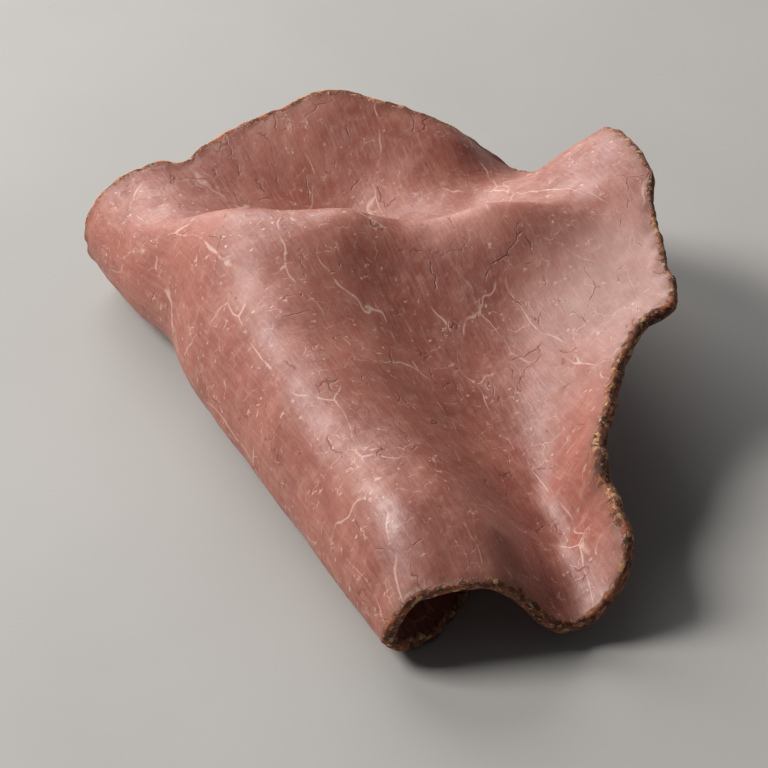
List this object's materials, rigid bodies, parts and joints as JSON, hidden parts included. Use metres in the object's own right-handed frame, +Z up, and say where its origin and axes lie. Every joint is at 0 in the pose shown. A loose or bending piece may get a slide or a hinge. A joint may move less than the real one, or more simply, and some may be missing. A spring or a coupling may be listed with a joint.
{
  "type": "folded roast beef slice",
  "caption": "Thin slice of cooked roast beef, folded loosely in two, with a browned outer rim and an open mouth along the fold.",
  "frame": {"origin": "centre of the slice's bounding box, on the surface it rests on", "axes": "+Z up, +Y towards the raised back flap, -Y towards the front mouth of the fold, +X towards the free right rim"},
  "size_m": [0.0976, 0.1202, 0.0317],
  "materials": {
    "roast_beef": "moist, rosy meat with a dark browned rim"
  },
  "bodies": {
    "root": {"slice": "roast_beef"}
  },
  "joints": []
}
